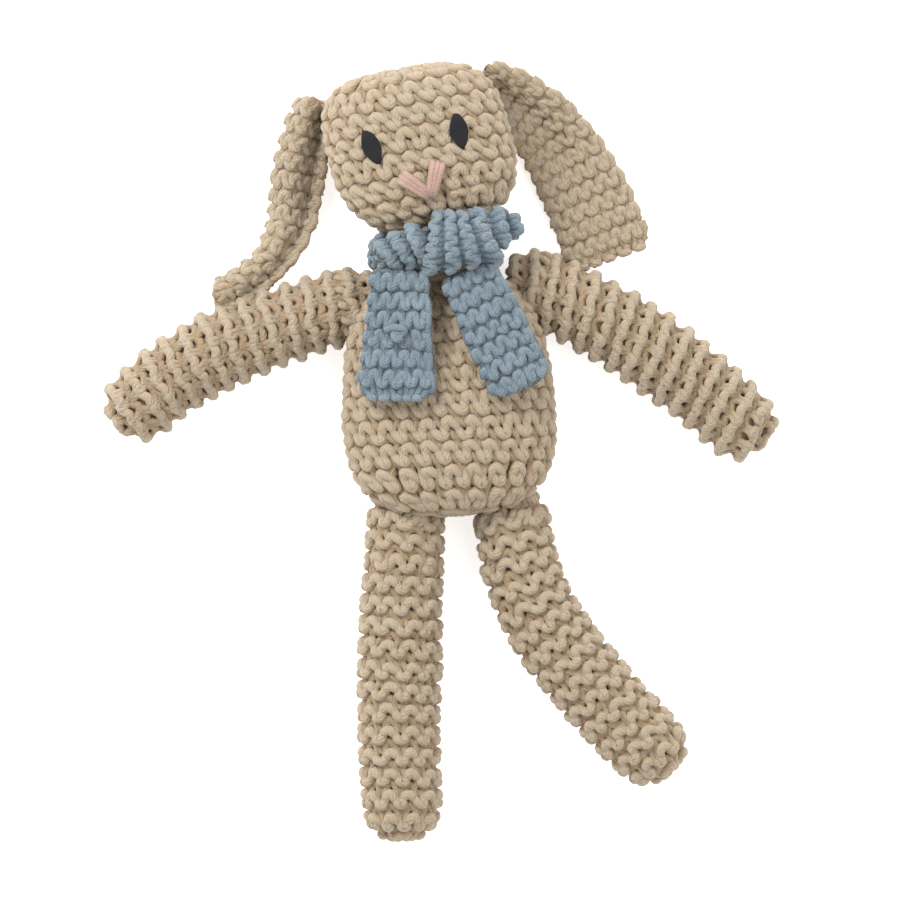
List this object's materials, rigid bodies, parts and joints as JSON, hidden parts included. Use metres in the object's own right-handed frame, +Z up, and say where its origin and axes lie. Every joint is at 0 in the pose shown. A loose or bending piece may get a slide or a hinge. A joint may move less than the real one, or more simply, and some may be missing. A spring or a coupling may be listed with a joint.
{
  "type": "stuffed bunny rabbit",
  "caption": "Hand-knitted stuffed bunny rabbit lying on its back: floppy ears, long soft limbs that swing, lift and bend, a nodding head and a tied blue scarf.",
  "frame": {"origin": "on the surface the toy lies on, under the middle of its bounding box", "axes": "+Y from the feet to the head, along the toy's longest extent; +X to the right as seen looking down on its face; +Z up, out of its belly"},
  "size_m": [0.215, 0.2485, 0.0483],
  "materials": {
    "body_yarn": "knitted oatmeal wool yarn, garter stitch, slightly fuzzy",
    "sewing_yarn": "the same oatmeal yarn, drawn tight",
    "stuffing": "loose off-white fibre filling",
    "scarf_yarn": "knitted dusty blue wool yarn, garter stitch",
    "eye_thread": "charcoal satin stitch",
    "nose_yarn": "pale pink satin stitch"
  },
  "bodies": {
    "torso": {"torso_casing": "body_yarn", "torso_stuffing": "stuffing", "scarf_wrap": "scarf_yarn", "scarf_knot": "scarf_yarn"},
    "neck": {"neck_gather": "sewing_yarn"},
    "head": {"head_casing": "body_yarn", "head_stuffing": "stuffing", "left_eye": "eye_thread", "right_eye": "eye_thread", "nose_left_stitch": "nose_yarn", "nose_right_stitch": "nose_yarn"},
    "left_ear": {"left_ear": "body_yarn"},
    "right_ear": {"right_ear": "body_yarn"},
    "left_shoulder": {"left_shoulder_seam": "sewing_yarn"},
    "left_upper_arm": {"left_upper_arm": "body_yarn", "left_upper_arm_stuffing": "stuffing"},
    "left_forearm": {"left_forearm": "body_yarn", "left_forearm_stuffing": "stuffing"},
    "left_hip": {"left_hip_seam": "sewing_yarn"},
    "left_thigh": {"left_thigh": "body_yarn", "left_thigh_stuffing": "stuffing"},
    "left_shin": {"left_shin": "body_yarn", "left_shin_stuffing": "stuffing"},
    "right_shoulder": {"right_shoulder_seam": "sewing_yarn"},
    "right_upper_arm": {"right_upper_arm": "body_yarn", "right_upper_arm_stuffing": "stuffing"},
    "right_forearm": {"right_forearm": "body_yarn", "right_forearm_stuffing": "stuffing"},
    "right_hip": {"right_hip_seam": "sewing_yarn"},
    "right_thigh": {"right_thigh": "body_yarn", "right_thigh_stuffing": "stuffing"},
    "right_shin": {"right_shin": "body_yarn", "right_shin_stuffing": "stuffing"},
    "scarf_left_tail": {"scarf_left_tail": "scarf_yarn"},
    "scarf_right_tail": {"scarf_right_tail": "scarf_yarn"}
  },
  "joints": [
    {"name": "head_nod", "type": "hinge", "parent": "torso", "child": "neck", "pos_m": [-0.001, 0.065, 0.0205], "axis": [1, 0, 0], "range_deg": [0, 30], "deforming": ["scarf_wrap", "scarf_knot"]},
    {"name": "head_turn", "type": "hinge", "parent": "neck", "child": "head", "pos_m": [-0.001, 0.065, 0.0205], "axis": [-0.1908, 0.9816, 0], "range_deg": [-30, 30]},
    {"name": "left_ear_lift", "type": "hinge", "parent": "head", "child": "left_ear", "pos_m": [-0.0454, 0.108, 0.015], "axis": [-0.9703, 0.2419, 0], "range_deg": [0, 65]},
    {"name": "right_ear_lift", "type": "hinge", "parent": "head", "child": "right_ear", "pos_m": [0.0259, 0.115, 0.017], "axis": [-0.866, -0.5, 0], "range_deg": [0, 90]},
    {"name": "left_arm_swing", "type": "hinge", "parent": "torso", "child": "left_shoulder", "pos_m": [-0.0345, 0.05, 0.0128], "axis": [0, 0, 1], "range_deg": [0, 25]},
    {"name": "left_arm_lift", "type": "hinge", "parent": "left_shoulder", "child": "left_upper_arm", "pos_m": [-0.0345, 0.05, 0.0128], "axis": [-0.3746, 0.9272, 0], "range_deg": [0, 75]},
    {"name": "left_elbow_bend", "type": "hinge", "parent": "left_upper_arm", "child": "left_forearm", "pos_m": [-0.06683, 0.03423, 0.0128], "axis": [0, 0, -1], "range_deg": [-45, 40]},
    {"name": "right_arm_swing", "type": "hinge", "parent": "torso", "child": "right_shoulder", "pos_m": [0.0336, 0.053, 0.0128], "axis": [0, 0, -1], "range_deg": [0, 25]},
    {"name": "right_arm_lift", "type": "hinge", "parent": "right_shoulder", "child": "right_upper_arm", "pos_m": [0.0336, 0.053, 0.0128], "axis": [-0.4618, -0.887, 0], "range_deg": [0, 75]},
    {"name": "right_elbow_bend", "type": "hinge", "parent": "right_upper_arm", "child": "right_forearm", "pos_m": [0.06649, 0.03304, 0.0128], "axis": [0, 0, 1], "range_deg": [-45, 40]},
    {"name": "left_leg_splay", "type": "hinge", "parent": "torso", "child": "left_hip", "pos_m": [-0.0125, -0.025, 0.0132], "axis": [0, 0, -1], "range_deg": [-5, 30]},
    {"name": "left_leg_lift", "type": "hinge", "parent": "left_hip", "child": "left_thigh", "pos_m": [-0.0125, -0.025, 0.0132], "axis": [-0.9998, 0.0174, 0], "range_deg": [0, 90]},
    {"name": "left_knee_bend", "type": "hinge", "parent": "left_thigh", "child": "left_shin", "pos_m": [-0.01306, -0.068, 0.0132], "axis": [0, 0, -1], "range_deg": [-15, 45]},
    {"name": "right_leg_splay", "type": "hinge", "parent": "torso", "child": "right_hip", "pos_m": [0.0234, -0.025, 0.0132], "axis": [0, 0, 1], "range_deg": [-5, 30]},
    {"name": "right_leg_lift", "type": "hinge", "parent": "right_hip", "child": "right_thigh", "pos_m": [0.0234, -0.025, 0.0132], "axis": [-0.9976, -0.0698, 0], "range_deg": [0, 90]},
    {"name": "right_knee_bend", "type": "hinge", "parent": "right_thigh", "child": "right_shin", "pos_m": [0.03888, -0.0633, 0.0132], "axis": [0, 0, 1], "range_deg": [-35, 20]},
    {"name": "left_tail_lift", "type": "hinge", "parent": "torso", "child": "scarf_left_tail", "pos_m": [-0.0128, 0.0556, 0.0426], "axis": [-0.9997, 0.0262, 0], "range_deg": [0, 80]},
    {"name": "right_tail_lift", "type": "hinge", "parent": "torso", "child": "scarf_right_tail", "pos_m": [0.01, 0.0552, 0.0426], "axis": [-0.8988, -0.4384, 0], "range_deg": [0, 80]}
  ]
}
